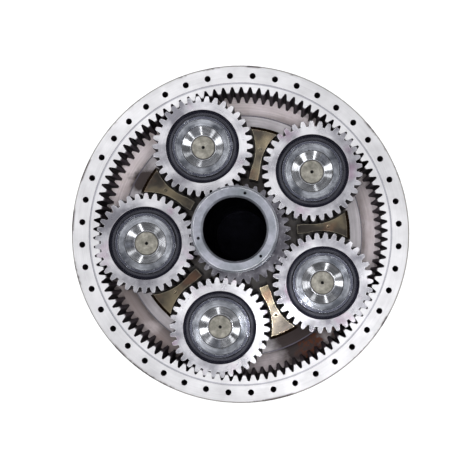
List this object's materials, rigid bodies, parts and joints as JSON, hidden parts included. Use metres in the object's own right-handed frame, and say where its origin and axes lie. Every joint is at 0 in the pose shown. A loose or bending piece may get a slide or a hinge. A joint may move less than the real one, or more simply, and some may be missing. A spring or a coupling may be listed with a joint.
{
  "type": "planetary gearbox",
  "caption": "Open planetary gear stage: fixed ring gear with a bolt flange, planets on a carrier and a sun gear on a long hollow shaft.",
  "frame": {"origin": "on the main axis at the rear face of the housing", "axes": "+Z along the main axis, out of the open gear side towards the sun shaft's end"},
  "size_m": [0.96, 0.96, 0.5],
  "materials": {
    "ground_steel": "ground, satin",
    "gear_steel": "ground gear steel",
    "sun_steel": "dark ground steel",
    "shaft_steel": "turned, satin",
    "carrier_iron": "yellow-brown primed casting",
    "housing_iron": "machined casting",
    "pin_steel": "polished",
    "plug_steel": "matte",
    "bearing_steel": "superfinished",
    "black_oxide": "black oxide",
    "cage_brass": "machined",
    "pad_bronze": "machined",
    "screw_steel": "black oxide",
    "seal_rubber": "matte"
  },
  "bodies": {
    "housing": {"ring_gear": "ground_steel", "rear_housing": "housing_iron", "housing_screws": "screw_steel", "dowel_pins": "bearing_steel", "housing_o_ring": "seal_rubber", "bearing_clamp_ring": "shaft_steel", "clamp_screws": "screw_steel", "main_bearing_outer_ring": "bearing_steel", "shaft_seal": "seal_rubber"},
    "carrier": {"planet_carrier": "carrier_iron", "sun_thrust_pad": "pad_bronze", "main_bearing_inner_ring": "bearing_steel", "seal_sleeve": "bearing_steel", "planet_pin_1": "pin_steel", "planet_pin_2": "pin_steel", "planet_pin_3": "pin_steel", "planet_pin_4": "pin_steel", "planet_pin_5": "pin_steel", "pin_plug_1": "plug_steel", "pin_plug_2": "plug_steel", "pin_plug_3": "plug_steel", "pin_plug_4": "plug_steel", "pin_plug_5": "plug_steel", "planet_inner_ring_1": "bearing_steel", "planet_inner_ring_2": "bearing_steel", "planet_inner_ring_3": "bearing_steel", "planet_inner_ring_4": "bearing_steel", "planet_inner_ring_5": "bearing_steel"},
    "main_bearing_cage_set": {"main_bearing_rollers": "bearing_steel", "main_bearing_cage": "cage_brass"},
    "planet_1": {"planet_gear_1": "gear_steel", "planet_shield_1": "black_oxide", "planet_snap_ring_1": "black_oxide"},
    "planet_bearing_1": {"planet_rollers_1": "bearing_steel", "planet_cage_1": "cage_brass"},
    "planet_2": {"planet_gear_2": "gear_steel", "planet_shield_2": "black_oxide", "planet_snap_ring_2": "black_oxide"},
    "planet_bearing_2": {"planet_rollers_2": "bearing_steel", "planet_cage_2": "cage_brass"},
    "planet_3": {"planet_gear_3": "gear_steel", "planet_shield_3": "black_oxide", "planet_snap_ring_3": "black_oxide"},
    "planet_bearing_3": {"planet_rollers_3": "bearing_steel", "planet_cage_3": "cage_brass"},
    "planet_4": {"planet_gear_4": "gear_steel", "planet_shield_4": "black_oxide", "planet_snap_ring_4": "black_oxide"},
    "planet_bearing_4": {"planet_rollers_4": "bearing_steel", "planet_cage_4": "cage_brass"},
    "planet_5": {"planet_gear_5": "gear_steel", "planet_shield_5": "black_oxide", "planet_snap_ring_5": "black_oxide"},
    "planet_bearing_5": {"planet_rollers_5": "bearing_steel", "planet_cage_5": "cage_brass"},
    "sun": {"sun_gear": "sun_steel", "sun_shaft": "shaft_steel", "sun_keys": "screw_steel", "sun_lock_ring": "bearing_steel"}
  },
  "joints": [
    {"name": "carrier_spin", "type": "hinge", "parent": "housing", "child": "carrier", "pos_m": [0, 0, 0.071], "axis": [0, 0, 1], "continuous": true},
    {"name": "sun_spin", "type": "hinge", "parent": "housing", "child": "sun", "pos_m": [0, 0, 0.141], "axis": [0, 0, 1], "continuous": true},
    {"name": "main_cage_spin", "type": "hinge", "parent": "housing", "child": "main_bearing_cage_set", "pos_m": [0, 0, 0.029], "axis": [0, 0, 1], "continuous": true},
    {"name": "planet_1_spin", "type": "hinge", "parent": "carrier", "child": "planet_1", "pos_m": [0.20403, 0.17988, 0.141], "axis": [0, 0, 1], "continuous": true},
    {"name": "planet_1_cage_spin", "type": "hinge", "parent": "carrier", "child": "planet_bearing_1", "pos_m": [0.20403, 0.17988, 0.141], "axis": [0, 0, 1], "continuous": true},
    {"name": "planet_2_spin", "type": "hinge", "parent": "carrier", "child": "planet_2", "pos_m": [-0.10802, 0.24963, 0.141], "axis": [0, 0, 1], "continuous": true},
    {"name": "planet_2_cage_spin", "type": "hinge", "parent": "carrier", "child": "planet_bearing_2", "pos_m": [-0.10802, 0.24963, 0.141], "axis": [0, 0, 1], "continuous": true},
    {"name": "planet_3_spin", "type": "hinge", "parent": "carrier", "child": "planet_3", "pos_m": [-0.27079, -0.0256, 0.141], "axis": [0, 0, 1], "continuous": true},
    {"name": "planet_3_cage_spin", "type": "hinge", "parent": "carrier", "child": "planet_bearing_3", "pos_m": [-0.27079, -0.0256, 0.141], "axis": [0, 0, 1], "continuous": true},
    {"name": "planet_4_spin", "type": "hinge", "parent": "carrier", "child": "planet_4", "pos_m": [-0.05933, -0.26545, 0.141], "axis": [0, 0, 1], "continuous": true},
    {"name": "planet_4_cage_spin", "type": "hinge", "parent": "carrier", "child": "planet_bearing_4", "pos_m": [-0.05933, -0.26545, 0.141], "axis": [0, 0, 1], "continuous": true},
    {"name": "planet_5_spin", "type": "hinge", "parent": "carrier", "child": "planet_5", "pos_m": [0.23412, -0.13846, 0.141], "axis": [0, 0, 1], "continuous": true},
    {"name": "planet_5_cage_spin", "type": "hinge", "parent": "carrier", "child": "planet_bearing_5", "pos_m": [0.23412, -0.13846, 0.141], "axis": [0, 0, 1], "continuous": true}
  ],
  "couplings": [
    {"joint": "sun_spin", "follows": "carrier_spin", "ratio": 4.0909},
    {"joint": "main_cage_spin", "follows": "carrier_spin", "ratio": 0.47647},
    {"joint": "planet_1_spin", "follows": "carrier_spin", "ratio": -3},
    {"joint": "planet_1_cage_spin", "follows": "carrier_spin", "ratio": -1.6242},
    {"joint": "planet_2_spin", "follows": "carrier_spin", "ratio": -3},
    {"joint": "planet_2_cage_spin", "follows": "carrier_spin", "ratio": -1.6242},
    {"joint": "planet_3_spin", "follows": "carrier_spin", "ratio": -3},
    {"joint": "planet_3_cage_spin", "follows": "carrier_spin", "ratio": -1.6242},
    {"joint": "planet_4_spin", "follows": "carrier_spin", "ratio": -3},
    {"joint": "planet_4_cage_spin", "follows": "carrier_spin", "ratio": -1.6242},
    {"joint": "planet_5_spin", "follows": "carrier_spin", "ratio": -3},
    {"joint": "planet_5_cage_spin", "follows": "carrier_spin", "ratio": -1.6242}
  ]
}
